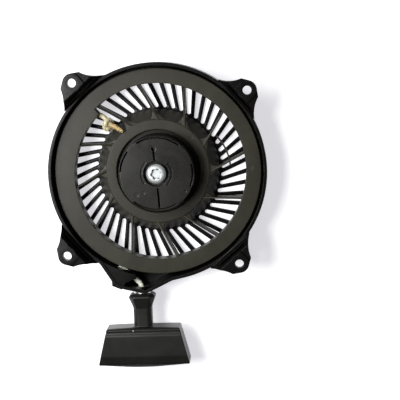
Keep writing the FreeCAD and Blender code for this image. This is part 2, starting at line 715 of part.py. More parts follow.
def handle_grip():
    """T-shaped handle: flared eight-sided neck on a deep tapered grip, hollow below for the knot."""
    neck = []
    for a, b in zip(NECK_SECTIONS, NECK_SECTIONS[1:]):
        neck.append(Part.makeLoft([handle_section(*a), handle_section(*b)], True, True))
    top = NECK_LENGTH
    ridge = top + 5.2
    corners = [
        Vector(-GRIP_BOTTOM_HALF, GRIP_SHOULDER, 0),
        Vector(-GRIP_TOP_HALF, top + 0.6, 0),
        Vector(GRIP_TOP_HALF, top + 0.6, 0),
        Vector(GRIP_BOTTOM_HALF, GRIP_SHOULDER, 0),
    ]
    crown = [
        Part.makeLine(corners[0], corners[1]),
        arc(corners[1], Vector(0, top, 0), corners[2]),
        Part.makeLine(corners[2], corners[3]),
        arc(corners[3], Vector(0, HANDLE_LENGTH, 0), corners[0]),
    ]
    outline = face_of(crown)
    outline.translate(Vector(0, 0, -GRIP_HALF_DEPTH))
    block = outline.extrude(Vector(0, 0, 2 * GRIP_HALF_DEPTH))
    half = GRIP_HALF_DEPTH
    scoop = [(top - 1.0, 4.2), (top + 1.3, half - 0.9), (top + 3.6, half - 1.4), (ridge, half - 0.3)]
    side = scoop + [(43.0, half), (48.4, half - 1.2), (52.0, half - 4.0)]
    loop = side + [(y, -z) for y, z in reversed(side)]
    profile = polygon([Vector(-40, y, z) for y, z in loop]).extrude(Vector(80, 0, 0))
    grip = block.common(profile)
    body = fuse(neck + [grip])
    pocket = Part.makeBox(26.0, 22.0, 12.0, Vector(-13.0, 31.0, -6.0))
    bore = Part.makeCylinder(ROPE_R + 0.3, 60.0, Vector(0, -5.0, 0), Vector(0, 1, 0))
    return along_handle(body.cut(Part.makeCompound([pocket.fuse(bore)])))


def grip_insert():
    """Small steel plate that the knot bears on."""
    plate = Part.makeBox(16.0, 1.5, 10.0, Vector(-8.0, 31.05, -5.0))
    hole = Part.makeCylinder(ROPE_R + 0.3, 10.0, Vector(0, 28.0, 0), Vector(0, 1, 0))
    return along_handle(plate.cut(hole))


def handle_knot():
    """Overhand knot under the insert."""
    knot = Part.makeTorus(2.9, 1.7, Vector(0, 36.3, 0), Vector(0, 1, 0))
    core = Part.makeCylinder(2.6, 6.4, Vector(0, 32.6, 0), Vector(0, 1, 0))
    end = Part.makeCone(1.9, 1.5, 7.0, Vector(0, 38.0, 0), Vector(0.25, 1, 0))
    return along_handle(fuse([knot, core, end]))


def rope_tail():
    """Rope from the outlet through the handle's neck to the insert."""
    return along_handle(Part.makeCylinder(ROPE_R, 32.55, Vector(0, 0.05, 0), Vector(0, 1, 0)))


def pulley_sleeve():
    """Steel sleeve on the post that the pulley turns on."""
    return tube(SLEEVE_R, POST_R + 0.05, -26.9, -8.2)


def thread_insert():
    """Grooved brass insert that takes the centre screw."""
    insert = tube(3.75, SCREW_SHANK_R + 0.05, SCREW_END_Z - 1.0, -8.4)
    grooves = [tube(5.0, 3.35, z, z + 0.8) for z in (-20.0, -16.0, -12.0)]
    return insert.cut(Part.makeCompound(grooves))


def write(name, shape):
    """Check one sub-part and write it."""
    solids = shape.Solids
    print(name, "solids", len(solids), "valid", shape.isValid(), "volume", round(shape.Volume, 1))
    result = solids[0] if len(solids) == 1 else Part.makeCompound(solids)
    result.exportStep("parts/" + name + ".step")


def main():
    os.makedirs("parts", exist_ok=True)
    pawl = pawl_local()
    write("housing_shell", housing_shell())
    write("rope_guide", rope_guide())
    write("rope_pulley", rope_pulley())
    write("spring_keeper", spring_keeper())
    write("recoil_spring", recoil_spring())
    write("pulley_sleeve", pulley_sleeve())
    write("thread_insert", thread_insert())
    write("center_screw", center_screw())
    write("friction_spring", friction_spring())
    write("friction_plate", friction_plate())
    write("pawl_a", pawl)
    write("pawl_b", turned(pawl, 180))
    write("rope_wound", rope_wound())
    write("pulley_knot", pulley_knot())
    write("rope_lead", rope_lead())
    write("rope_tail", rope_tail())
    write("handle_grip", handle_grip())
    write("grip_insert", grip_insert())
    write("handle_knot", handle_knot())


main()
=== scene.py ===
import json
import math
import random

import bmesh
import bpy
from mathutils import Matrix, Vector

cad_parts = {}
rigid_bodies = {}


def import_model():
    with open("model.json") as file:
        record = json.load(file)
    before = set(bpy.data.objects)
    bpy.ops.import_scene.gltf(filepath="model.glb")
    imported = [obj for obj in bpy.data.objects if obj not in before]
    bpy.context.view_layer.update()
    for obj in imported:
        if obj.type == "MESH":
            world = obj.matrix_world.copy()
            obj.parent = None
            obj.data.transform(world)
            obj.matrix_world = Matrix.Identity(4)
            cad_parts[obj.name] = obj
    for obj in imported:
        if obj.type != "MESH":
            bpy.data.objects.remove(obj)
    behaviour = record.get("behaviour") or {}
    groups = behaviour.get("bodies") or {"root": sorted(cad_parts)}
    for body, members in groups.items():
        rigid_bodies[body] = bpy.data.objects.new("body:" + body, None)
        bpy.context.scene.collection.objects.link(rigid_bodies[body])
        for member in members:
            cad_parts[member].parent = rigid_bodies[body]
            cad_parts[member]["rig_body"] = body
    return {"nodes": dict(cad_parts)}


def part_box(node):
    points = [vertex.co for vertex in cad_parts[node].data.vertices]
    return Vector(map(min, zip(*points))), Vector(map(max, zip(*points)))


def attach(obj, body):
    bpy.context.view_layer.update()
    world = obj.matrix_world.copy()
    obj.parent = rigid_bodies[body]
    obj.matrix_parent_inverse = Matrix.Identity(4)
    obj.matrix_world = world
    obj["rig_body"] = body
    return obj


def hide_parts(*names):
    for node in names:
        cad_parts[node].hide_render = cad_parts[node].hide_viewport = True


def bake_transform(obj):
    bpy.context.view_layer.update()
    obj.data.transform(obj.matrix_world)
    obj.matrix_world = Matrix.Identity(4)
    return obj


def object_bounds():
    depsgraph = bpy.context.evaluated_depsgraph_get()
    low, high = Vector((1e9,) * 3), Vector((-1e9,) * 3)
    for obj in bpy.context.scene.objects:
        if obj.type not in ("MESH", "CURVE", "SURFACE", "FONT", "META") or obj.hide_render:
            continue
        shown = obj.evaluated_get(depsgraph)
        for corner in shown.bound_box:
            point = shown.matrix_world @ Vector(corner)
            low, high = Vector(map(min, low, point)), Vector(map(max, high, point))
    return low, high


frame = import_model()
cad_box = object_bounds()

MM = 0.001

# Camera: above the engine side, a little towards the top right of the view
CAMERA_AT = Vector((0.0548, 0.0824, 0.7549))
CAMERA_AIM = Vector((0.0299, -0.016, 0.0))
CAMERA_ROLL = 0.0386
CAMERA_LENS = 103.0
CAMERA_SENSOR = 36.0

# Light: name, place in metres, size and watts
LIGHTS = (
    ("key", (-0.33, 0.12, 0.38), 0.35, 4.2),
    ("sheen", (-0.28, -0.02, 0.6), 0.2, 4.2),
    ("fill", (0.35, 0.75, 0.9), 0.9, 1.2),
)
LIGHT_TARGET = Vector((0.0, -0.02, 0.0))
WORLD_LIGHT = 0.1

# Floor: pale and faintly glowing, just under the part
FLOOR_Z = cad_box[0].z - 0.2 * MM
FLOOR_HALF = 3.0
FLOOR_GREY = (0.62, 0.62, 0.62, 1.0)
FLOOR_TINT = (0.955, 0.945, 0.99, 1.0)
FLOOR_GLOW = 0.64

# Rope: where it leaves the pulley on a tangent, the corner by the outlet, the outlet and the pull
ROPE_R = 1.8 * MM
LEAD_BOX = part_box("rope_lead")
ROPE_Z = (LEAD_BOX[0].z + LEAD_BOX[1].z) / 2
LEAVE = Vector((-42.2, -52.11, 0.0)) * MM
LEAVE_DIR = Vector((-LEAVE.y, LEAVE.x, 0.0)).normalized()
LEAD_FROM = 22.7 * MM
LEAD_CORNER = 43.18 * MM
LEAD_EASE = 5.95 * MM
MOUTH = Vector((-8.2 * MM, -85.2 * MM, ROPE_Z))
HANDLE_TILT = math.radians(4.3)
HANDLE_DIR = Vector((math.sin(HANDLE_TILT), -math.cos(HANDLE_TILT), 0))
SPAN_LENGTH = 32.5 * MM
SPAN_RINGS = 700
ROPE_STEP = 0.22 * MM

# Turns on the pulley: points in a turn, distance between the layers and gap between neighbours
TURN_STEPS = 900
LAYER_STEP = 1.9 * ROPE_R
TURN_GAP = 0.08 * MM

# Braid: pairs of strands round the rope, length of one diamond, depth laid tight and in a knot
BRAID_PAIRS = 4
BRAID_PITCH = 1.7 * MM
BRAID_DEPTH = 0.16
LOOSE_DEPTH = 0.22

# Filaments: range of length as shares, points along one, bend, and narrowing towards the end
FRAY_REACH = (0.4, 1.0)
FRAY_STOPS = (0.0, 0.35, 0.7, 1.0)
FRAY_BEND = 0.9
FRAY_TAPER = 0.5

# Knot on the pulley: places in mm, with heights from the rope's level, and its loops' turns about X and Z
KNOT_SEED = 7
KNOT_AT = (-35.1, 30.2, 0.8)
KNOT_ROUTE = ((-46.9, 37.5, 0.0), (-37.7, 37.35, 0.0), (-35.4, 31.2, 0.8))
TAIL_ROUTE = ((-35.0, 30.6, 1.6), (-31.6, 29.9, 2.6), (-28.0, 28.2, 4.2), (-24.2, 25.9, 4.6))
KNOT_TURNS = (math.radians(24.0), math.radians(70.0))
KNOT_STEPS = 260
NECK_R = 0.97 * ROPE_R

# Singed tip: radius, taper, share of its length that rounds off and share of area left at the very end
TIP_R = 1.75 * MM
TIP_TAPER = 0.25
TIP_NOSE = 0.14
TIP_END = 0.02
TIP_STEP = 0.16 * MM

# Lumps on the tip: number and the ranges of waves per mm, start and depth
LUMPS = 6
LUMP_RATE = (2.0, 5.0)
LUMP_START = (0, 6.28)
LUMP_DEPTH = (0.03, 0.1)

# Stubs of yarn on the tip: number and how far they lie from the knot's centre along X, Y and Z, in mm
STUBS = 5
STUB_SPANS = ((1.5, 9.0), (-1.6, 0.4), (2.2, 3.2))

# Knot in the handle: distance back from its CAD solid's centre, its loops' turns and its short end
HANDLE_KNOT_SEED = 11
HANDLE_KNOT_BACK = 2.2 * MM
HANDLE_KNOT_TURNS = (math.radians(90.0), 0.4)
HANDLE_END_RUN = (4 * MM, 7.2 * MM)
HANDLE_END_BEND = Vector((0.8, 0, 0.6)) * MM

# Wear and painted shade on the mouldings: rubbed edges, painted shade in corners, painted shade round the
# moat and dust
WORN_GAIN = 1.9
WORN_LIFT = 0.004
CORNER_SHADE_SHARE = 0.75
CORNER_SHADE_TONE = 0.35
MOAT_SHADE_SHARE = 0.85
# Painted shade round the moat: its share, tone and soft edge, then the moat's inner and outer radius
MOAT_SHADE_TONE = 0.2
MOAT_SHADE_EDGE = 0.3 * MM
MOAT = (25.4 * MM, 28.3 * MM)
DUST = (0.3, 0.29, 0.26)
DUST_SHARE = 0.05

# Marks of the mould, in mm: each has a radius on the part, degrees and the mark's own radius
PULLEY_MARKS = ((62.6, 5.1, 1.9), (32.0, 48.0, 1.2))
PLATE_MARKS = ((19.5, 229.0, 1.5), (15.5, 238.0, 1.1), (22.6, -28.5, 0.8), (17.0, 101.0, 2.4))
PIN_SOFT = 0.15
# Painted glint at the handle's gate: a pale spot in a ring of painted shade, with its edge softness, the
# ring's edges, share and tone
HANDLE_GATE_GLINT = (111.28, -96.76, 0.6)
GLINT_PALE = (0.34, 0.33, 0.35)
GLINT_SOFT = 0.3
PIT_SHADE_RIM = (0.9, 0.5)
PIT_SHADE_SHARE = 0.7
PIT_SHADE_TONE = 0.3

# Meshes: corners closer than this are one, and faces flatter than this are merged
WELD = 0.002 * MM
FLAT = math.radians(0.6)


# ---------------------------------------------------------------- shader helpers

class Shader:
    """A Principled material with short calls for the nodes that feed it."""

    def __init__(self, name):
        self.mat = bpy.data.materials.new(name)
        self.mat.use_nodes = True
        self.tree = self.mat.node_tree
        self.bsdf = self.tree.nodes["Principled BSDF"]
        self.coords = self.tree.nodes.new("ShaderNodeTexCoord").outputs["Object"]

    def node(self, kind, **values):
        made = self.tree.nodes.new(kind)
        for key, value in values.items():
            setattr(made, key, value)
        return made

    def link(self, source, target):
        self.tree.links.new(source, target)

    def set(self, **values):
        """Values of the Principled sockets, named with underscores for spaces."""
        for key, value in values.items():
            self.bsdf.inputs[key.replace("_", " ")].default_value = value

    def noise(self, scale, detail=3.0, rough=0.55, stretch=None, distortion=0.0):
        """Noise in object space; stretch scales the three axes."""
        tex = self.node("ShaderNodeTexNoise")
        tex.inputs["Scale"].default_value = scale
        tex.inputs["Detail"].default_value = detail
        tex.inputs["Roughness"].default_value = rough
        tex.inputs["Distortion"].default_value = distortion
        source = self.coords
        if stretch is not None:
            mapping = self.node("ShaderNodeMapping")
            mapping.inputs["Scale"].default_value = stretch
            self.link(source, mapping.inputs["Vector"])
            source = mapping.outputs["Vector"]
        self.link(source, tex.inputs["Vector"])
        return tex.outputs["Fac"]

    def cells(self, scale):
        """Distance to the nearest of many scattered points."""
        tex = self.node("ShaderNodeTexVoronoi", feature="F1")
        tex.inputs["Scale"].default_value = scale
        self.link(self.coords, tex.inputs["Vector"])
        return tex.outputs["Distance"]

    def ramp(self, source, low, high, to_low=0.0, to_high=1.0):
        """Straight ramp that stays level past low and high."""
        made = self.node("ShaderNodeMapRange")
        made.inputs["From Min"].default_value = low
        made.inputs["From Max"].default_value = high
        made.inputs["To Min"].default_value = to_low
        made.inputs["To Max"].default_value = to_high
        self.link(source, made.inputs["Value"])
        return made.outputs["Result"]

    def maths(self, operation, a, b=None):
        """One step of arithmetic on outputs or numbers; b is left out where the operation takes one."""
        made = self.node("ShaderNodeMath", operation=operation)
        for slot, value in ((0, a), (1, b)):
            if value is None:
                continue
            if isinstance(value, (int, float)):
                made.inputs[slot].default_value = value
            else:
                self.link(value, made.inputs[slot])
        return made.outputs["Value"]

    def mix(self, factor, a, b):
        """Colour mix by an output; a and b are colours or outputs."""
        made = self.node("ShaderNodeMix", data_type="RGBA")
        self.link(factor, made.inputs["Factor"])
        for slot, value in (("A", a), ("B", b)):
            socket = [s for s in made.inputs if s.name == slot and s.type == "RGBA"][0]
            if isinstance(value, (tuple, list)):
                socket.default_value = (*value, 1.0)
            else:
                self.link(value, socket)
        return [s for s in made.outputs if s.type == "RGBA"][0]

    def colour(self, source):
        self.link(source, self.bsdf.inputs["Base Color"])

    def roughness(self, source):
        self.link(source, self.bsdf.inputs["Roughness"])

    def bumps(self, *layers):
        """Each layer is (height, strength, distance in metres)."""
        last = None
        for height, strength, distance in layers:
            made = self.node("ShaderNodeBump")
            made.inputs["Strength"].default_value = strength
            made.inputs["Distance"].default_value = distance
            self.link(height, made.inputs["Height"])
            if last is not None:
                self.link(last, made.inputs["Normal"])
            last = made.outputs["Normal"]
        self.link(last, self.bsdf.inputs["Normal"])

    def crevice_shade(self, distance, low=0.35, high=0.9):
        """Nearly 1 deep in corners and gaps, 0 in the open: a mask for painted shade, from ambient
        occlusion.
        """
        made = self.node("ShaderNodeAmbientOcclusion", samples=6)
        made.inputs["Distance"].default_value = distance
        return self.ramp(made.outputs["AO"], low, high, to_low=1.0, to_high=0.0)

    def edges(self, low=0.51, high=0.6):
        """Nearly 1 on outward edges, from the mesh's own curvature."""
        geometry = self.node("ShaderNodeNewGeometry")
        return self.ramp(geometry.outputs["Pointiness"], low, high)

    def off(self, x, y):
        """Distance in the plan from a point."""
        flat = self.node("ShaderNodeVectorMath", operation="MULTIPLY")
        flat.inputs[1].default_value = (1.0, 1.0, 0.0)
        self.link(self.coords, flat.inputs[0])
        made = self.node("ShaderNodeVectorMath", operation="DISTANCE")
        self.link(flat.outputs["Vector"], made.inputs[0])
        made.inputs[1].default_value = (x, y, 0.0)
        return made.outputs["Value"]

    def off_mark(self, reach, degrees):
        """Distance in the plan from a mark at a radius in mm and an angle."""
        turn = math.radians(degrees)
        return self.off(reach * MM * math.cos(turn), reach * MM * math.sin(turn))

    def pin_marks(self, marks):
        """Height of shallow round ejector-pin marks."""
        height = None
        for reach, degrees, size in marks:
            away = self.off_mark(reach, degrees)
            step = self.ramp(away, (size - PIN_SOFT) * MM, (size + PIN_SOFT) * MM)
            height = step if height is None else self.maths("MULTIPLY", height, step)
        return height


def shade(colour, gain, lift=0.0):
    """A colour made darker or paler."""
    return [c * gain + lift for c in colour]


# ---------------------------------------------------------------- materials

def moat_shaded(s, base, dark, ring):
    """Base colour with a ring of painted shade about the axis, in the moat."""
    inner, outer = ring
    away = s.off(0.0, 0.0)
    begins = s.ramp(away, inner - MOAT_SHADE_EDGE, inner)
    ends = s.ramp(away, outer, outer - MOAT_SHADE_EDGE)
    share = s.maths("MULTIPLY", s.maths("MULTIPLY", begins, ends), MOAT_SHADE_SHARE)
    return s.mix(share, base, shade(dark, MOAT_SHADE_TONE))


def glint_at_gate(s, base, dark, gate):
    """Base colour with a painted glint at the mould's gate: a pale spot in a ring of painted shade."""
    reach, degrees, size = gate
    away = s.off_mark(reach, degrees)
    pit_shade = s.ramp(away, (size + PIT_SHADE_RIM[0]) * MM, (size + PIT_SHADE_RIM[1]) * MM, to_high=PIT_SHADE_SHARE)
    base = s.mix(pit_shade, base, shade(dark, PIT_SHADE_TONE))
    glint = s.ramp(away, size * MM, (size - GLINT_SOFT) * MM)
    return s.mix(glint, base, GLINT_PALE)


def moulded(name, dark, light, rough, grain, rub, shine, marks=(), moat_shade=None, gate=None):
    """Glass-filled moulded plastic: clouds, flow marks, fine grain, rubbed edges, painted shade in corners
    and dust, with a ring of painted shade in the moat and a painted glint at a gate where asked.
    """
    s = Shader(name)
    clouds = s.noise(38.0, detail=4.0, rough=0.6, distortion=0.6)
    flow = s.noise(90.0, rough=0.5, stretch=(1.0, 0.35, 1.0))
    fine = s.noise(1900.0, detail=2.0, rough=0.6)
    scuffs = s.noise(55.0, detail=5.0, rough=0.65, stretch=(1.0, 6.0, 1.0))
    patches = s.ramp(s.noise(160.0, detail=2.0), 0.35, 0.65, to_low=0.25)
    specks = s.ramp(s.noise(620.0, detail=4.0, rough=0.7), 0.64, 0.74)

    tone = s.maths("ADD", s.ramp(clouds, 0.3, 0.7, to_high=0.7), s.ramp(flow, 0.35, 0.65, to_high=0.3))
    base = s.mix(tone, dark, light)
    rubbed = s.maths("MULTIPLY", s.maths("MULTIPLY", s.edges(), patches), rub)
    base = s.mix(rubbed, base, shade(light, WORN_GAIN, WORN_LIFT))
    # Painted shade: darker in corners and recesses, from ambient occlusion
    corner_shade = s.maths("MULTIPLY", s.crevice_shade(2.5 * MM), CORNER_SHADE_SHARE)
    base = s.mix(corner_shade, base, shade(dark, CORNER_SHADE_TONE))
    if moat_shade is not None:
        base = moat_shaded(s, base, dark, moat_shade)
    if gate is not None:
        base = glint_at_gate(s, base, dark, gate)
    s.colour(s.mix(s.maths("MULTIPLY", specks, DUST_SHARE), base, DUST))

    gloss = s.ramp(clouds, 0.3, 0.7, rough - 0.06, rough + 0.05)
    s.roughness(s.maths("ADD", gloss, s.ramp(fine, 0.3, 0.7, -0.03, 0.05)))
    layers = [
        (fine, grain, 0.06 * MM),
        (s.cells(1400.0), grain * 0.5, 0.04 * MM),
        (scuffs, 0.08, 0.2 * MM),
    ]
    if marks:
        layers.append((s.pin_marks(marks), 0.6, 0.15 * MM))
    s.bumps(*layers)
    s.set(IOR=1.5, Specular_IOR_Level=shine)
    return s.mat


def metal(name, dark, light, rough, lines=600.0, stretch=(1.0, 1.0, 12.0),
          stain=None, stain_share=0.3, metallic=1.0, corner=0.9 * MM):
    """Plated or ground metal: fine lines, cloudy gloss, painted shade in corners and a trace of stain."""
    s = Shader(name)
    clouds = s.noise(140.0, detail=4.0, rough=0.6)
    fine = s.noise(lines, detail=2.0, rough=0.5, stretch=stretch)
    base = s.mix(s.ramp(clouds, 0.3, 0.7), dark, light)
    if stain is not None:
        spots = s.ramp(s.noise(420.0, detail=5.0, rough=0.7), 0.55, 0.7)
        base = s.mix(s.maths("MULTIPLY", spots, stain_share), base, stain)
    # Painted shade: darker in corners and recesses, from ambient occlusion
    s.colour(s.mix(s.crevice_shade(corner, low=0.4, high=0.8), base, shade(dark, 0.25)))
    gloss = s.ramp(clouds, 0.3, 0.7, rough - 0.05, rough + 0.07)
    s.roughness(s.maths("ADD", gloss, s.ramp(fine, 0.3, 0.7, -0.04, 0.05)))
    s.bumps((fine, 0.18, 0.03 * MM), (clouds, 0.1, 0.1 * MM))
    s.set(Metallic=metallic)
    return s.mat


def nylon(s, dark, light, soil_scale):
    """What all the nylon yarn has: soiled patches and a soft sheen. Returns its colour and its threads."""
    soil = s.noise(soil_scale, detail=4.0, rough=0.65)
    thread = s.noise(5200.0, detail=2.0, rough=0.5)
    s.roughness(s.ramp(soil, 0.3, 0.7, 0.45, 0.7))
    s.set(Sheen_Weight=0.35, Sheen_Roughness=0.4, IOR=1.52)
    return s.mix(s.ramp(soil, 0.4, 0.75), light, dark), thread


def fibre(name, dark, light, translucent=0.0):
    """Nylon yarn with modelled strands: glossy filaments and painted shade between the strands."""
    s = Shader(name)
    base, thread = nylon(s, dark, light, soil_scale=210.0)
    base = s.mix(s.ramp(thread, 0.45, 0.75, to_high=0.3), base, shade(dark, 0.62))
    # Painted shade in the gaps between the strands, from ambient occlusion
    base = s.mix(s.crevice_shade(0.7 * MM, low=0.3, high=0.8), base, shade(dark, 0.3))
    s.colour(base)
    s.bumps((thread, 0.5, 0.08 * MM))
    s.set(Subsurface_Weight=translucent, Subsurface_Radius=(0.0012, 0.0008, 0.0004))
    return s.mat


def braid(name, dark, light):
    """Nylon rope in the pull: a braid of eight strands that keeps its scale however long the rope is."""
    s = Shader(name)
    local = s.node("ShaderNodeMapping", vector_type="TEXTURE")
    local.inputs["Location"].default_value = MOUTH
    local.inputs["Rotation"].default_value = (0.0, 0.0, HANDLE_TILT)
    s.link(s.coords, local.inputs["Vector"])
    parts = s.node("ShaderNodeSeparateXYZ")
    s.link(local.outputs["Vector"], parts.inputs["Vector"])
    turn = s.maths("MULTIPLY", s.maths("ARCTAN2", parts.outputs["X"], parts.outputs["Z"]), BRAID_PAIRS)
    run = s.maths("MULTIPLY", parts.outputs["Y"], math.pi / BRAID_PITCH)
    left = s.maths("ABSOLUTE", s.maths("COSINE", s.maths("ADD", turn, run)))
    right = s.maths("ABSOLUTE", s.maths("COSINE", s.maths("SUBTRACT", turn, run)))
    strands = s.maths("SQRT", s.maths("MULTIPLY", left, right))
    base, thread = nylon(s, dark, light, soil_scale=90.0)
    # Painted shade in the grooves between the strands
    s.colour(s.mix(s.ramp(strands, 0.1, 0.45, to_low=0.75, to_high=0.0), base, shade(dark, 0.3)))
    s.bumps((strands, 0.9, 0.4 * MM), (thread, 0.4, 0.08 * MM))
    return s.mat


def melted(name, dark, light, burnt):
    """Nylon end singed with a flame: amber to brown, glassy."""
    s = Shader(name)
    clouds = s.noise(330.0, detail=4.0, rough=0.6)
    deep = s.noise(900.0, rough=0.6)
    base = s.mix(s.ramp(clouds, 0.35, 0.65), dark, light)
    s.colour(s.mix(s.ramp(deep, 0.55, 0.7), base, burnt))
    s.roughness(s.ramp(clouds, 0.3, 0.7, 0.18, 0.42))
    s.bumps((clouds, 0.5, 0.4 * MM), (deep, 0.4, 0.15 * MM))
    s.set(IOR=1.53, Subsurface_Weight=0.1, Subsurface_Radius=(0.001, 0.0005, 0.0002))
    return s.mat


BLACK = moulded(
    "housing_black", dark=(0.0014, 0.0013, 0.0014), light=(0.0028, 0.0026, 0.0023),
    rough=0.3, grain=0.3, rub=0.14, shine=0.1,
)
PULLEY = moulded(
    "pulley_plastic", dark=(0.0145, 0.0135, 0.009), light=(0.022, 0.0206, 0.0145),
    rough=0.4, grain=0.22, rub=0.25, shine=0.14, marks=PULLEY_MARKS, moat_shade=MOAT,
)
PLATE = moulded(
    "plate_plastic", dark=(0.0042, 0.004, 0.0033), light=(0.0066, 0.0062, 0.0052),
    rough=0.3, grain=0.25, rub=0.3, shine=0.2, marks=PLATE_MARKS,
)
HANDLE = moulded(
    "handle_plastic", dark=(0.005, 0.005, 0.0042), light=(0.0088, 0.0088, 0.0073),
    rough=0.34, grain=0.45, rub=0.4, shine=0.22, gate=HANDLE_GATE_GLINT,
)
ZINC = metal(
    "bright_zinc", dark=(0.3, 0.32, 0.32), light=(0.4, 0.42, 0.415), rough=0.44, lines=900.0,
    stretch=(1.0, 1.0, 1.0), stain=(0.2, 0.21, 0.23), stain_share=0.2, metallic=0.6, corner=1.9 * MM,
)
GUIDE = metal("polished_steel", dark=(0.5, 0.5, 0.5), light=(0.66, 0.66, 0.65), rough=0.25)
SPRING = metal(
    "blued_steel", dark=(0.11, 0.115, 0.13), light=(0.2, 0.2, 0.21), rough=0.32,
    stain=(0.12, 0.06, 0.03),
)
PAWL = metal(
    "sintered_steel", dark=(0.2, 0.2, 0.2), light=(0.3, 0.295, 0.285), rough=0.45, lines=2500.0,
    stretch=(1.0, 1.0, 1.0), stain=(0.1, 0.07, 0.05),
)
BRASS = metal("turned_brass", dark=(0.6, 0.42, 0.16), light=(0.74, 0.56, 0.26), rough=0.3, lines=800.0)
ROPE = fibre("rope_nylon", dark=(0.45, 0.47, 0.37), light=(0.72, 0.75, 0.64))
ROPE_SPAN = braid("rope_nylon_span", dark=(0.6, 0.63, 0.5), light=(0.9, 0.93, 0.82))
YARN = fibre("frayed_yarn", dark=(0.22, 0.175, 0.08), light=(0.48, 0.44, 0.29), translucent=0.15)
MELTED = melted("melted_nylon", dark=(0.2, 0.11, 0.025), light=(0.42, 0.33, 0.16), burnt=(0.1, 0.035, 0.01))


# ---------------------------------------------------------------- mesh helpers

def link_mesh(name, bm, material):
    """New smooth-shaded object from a bmesh."""
    data = bpy.data.meshes.new(name)
    bm.to_mesh(data)
    bm.free()
    for poly in data.polygons:
        poly.use_smooth = True
    made = bpy.data.objects.new(name, data)
    bpy.context.scene.collection.objects.link(made)
    data.materials.append(material)
    return made


def rounded(node, name, material, radius, segments=2, angle=28.0, merge_flats=True):
    """Copy of a CAD node with its sharp edges rounded, which stands for it."""
    source = frame["nodes"][node]
    bm = bmesh.new()
    bm.from_mesh(source.data)
    bmesh.ops.remove_doubles(bm, verts=bm.verts, dist=WELD)
    if merge_flats:
        bmesh.ops.dissolve_limit(bm, angle_limit=FLAT, verts=bm.verts, edges=bm.edges)
    limit = math.radians(angle)
    sharp = [e for e in bm.edges if len(e.link_faces) == 2 and e.calc_face_angle(0.0) > limit]
    bmesh.ops.bevel(bm, geom=sharp, offset=radius, offset_type="OFFSET", segments=segments, profile=0.5,
                    affect="EDGES", clamp_overlap=False, harden_normals=False)
    bmesh.ops.remove_doubles(bm, verts=bm.verts, dist=WELD / 2)
    bmesh.ops.triangulate(bm, faces=[f for f in bm.faces if len(f.verts) > 4])
    bmesh.ops.recalc_face_normals(bm, faces=bm.faces)
    made = link_mesh(name, bm, material)
    weighted = made.modifiers.new("flats", "WEIGHTED_NORMAL")
    weighted.weight = 100
    weighted.thresh = 0.02
    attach(made, source["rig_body"])
    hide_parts(node)
    return made


def dress(node, material):
    """Give a CAD node its finished material."""
    data = frame["nodes"][node].data
    data.materials.clear()
    data.materials.append(material)


def at_rope(place):
    """A place in mm, its height measured from the rope's level, in metres."""
    return Vector(place) * MM + Vector((0, 0, ROPE_Z))


def spline_through(points):
    """Points read along the smooth spline that a route controls."""
    curve = bpy.data.curves.new("route", "CURVE")
    curve.dimensions = "3D"
    curve.resolution_u = 40
    spline = curve.splines.new("NURBS")
    spline.points.add(len(points) - 1)
    for point, place in zip(spline.points, points):
        point.co = (*place, 1.0)
    spline.order_u = 3
    spline.use_endpoint_u = True
    holder = bpy.data.objects.new("route", curve)
    mesh = bpy.data.meshes.new_from_object(holder)
    line = [v.co.copy() for v in mesh.vertices]
    bpy.data.objects.remove(holder)
    bpy.data.curves.remove(curve)
    bpy.data.meshes.remove(mesh)
    return line


def evenly(line, step):
    """The same line with points one step apart."""
    out = [line[0]]
    left = step
    for a, b in zip(line, line[1:]):
        length = (b - a).length
        while length >= left:
            a = a + (b - a).normalized() * left
            out.append(a)
            length = (b - a).length
            left = step
        left -= length
    return out


def directions(line, closed):
    """Heading and one steady sideways direction at each point of a line."""
    count = len(line)
    out = []
    side = None
    for k in range(count):
        before = line[k - 1] if k or closed else line[0]
        after = line[(k + 1) % count] if k < count - 1 or closed else line[-1]
        heading = (after - before).normalized()
        if side is None:
            side = heading.orthogonal()
        side = (side - heading * side.dot(heading)).normalized()
        out.append((heading, side))
    return out


def tube_along(bm, line, radius_at, around=24, closed=False):
    """Tube on a line, added to a bmesh; radius_at(share along, distance along, angle) is its radius."""
    rings = []
    run = 0.0
    count = len(line)
    for k, (heading, side) in enumerate(directions(line, closed)):
        run += (line[k] - line[k - 1]).length if k else 0.0
        across = heading.cross(side)
        ring = []
        for m in range(around):
            turn = 2 * math.pi * m / around
            r = radius_at(k / (count - 1), run, turn)
            ring.append(bm.verts.new(line[k] + (side * math.cos(turn) + across * math.sin(turn)) * r))
        rings.append(ring)
    joins = list(zip(rings, rings[1:])) + ([(rings[-1], rings[0])] if closed else [])
    for low, high in joins:
        for m in range(around):
            n = (m + 1) % around
            bm.faces.new((low[m], low[n], high[n], high[m]))
    if not closed:
        bm.faces.new(reversed(rings[0]))
        bm.faces.new(rings[-1])


def braided(radius, depth=BRAID_DEPTH):
    """Radius function of a braid: rounded diamonds where two families of strands cross."""
    def radius_at(share, run, turn):
        left = abs(math.cos(BRAID_PAIRS * turn + math.pi * run / BRAID_PITCH))
        right = abs(math.cos(BRAID_PAIRS * turn - math.pi * run / BRAID_PITCH))
        return radius * (1 - depth + depth * math.sqrt(left * right))
    return radius_at


# ---------------------------------------------------------------- rope

def rope_lead():
    """Rope from the pulley's edge to the outlet."""
    level = at_rope((0, 0, 0))
    corner = LEAVE + LEAVE_DIR * LEAD_CORNER + level
    route = [LEAVE + LEAVE_DIR * LEAD_FROM + level, corner - LEAVE_DIR * LEAD_EASE, corner, MOUTH]
    bm = bmesh.new()
    tube_along(bm, evenly(spline_through(route), ROPE_STEP), braided(ROPE_R), around=32)
    made = link_mesh("rope_lead_braid", bm, ROPE)
    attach(made, "housing")
    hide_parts("rope_lead")


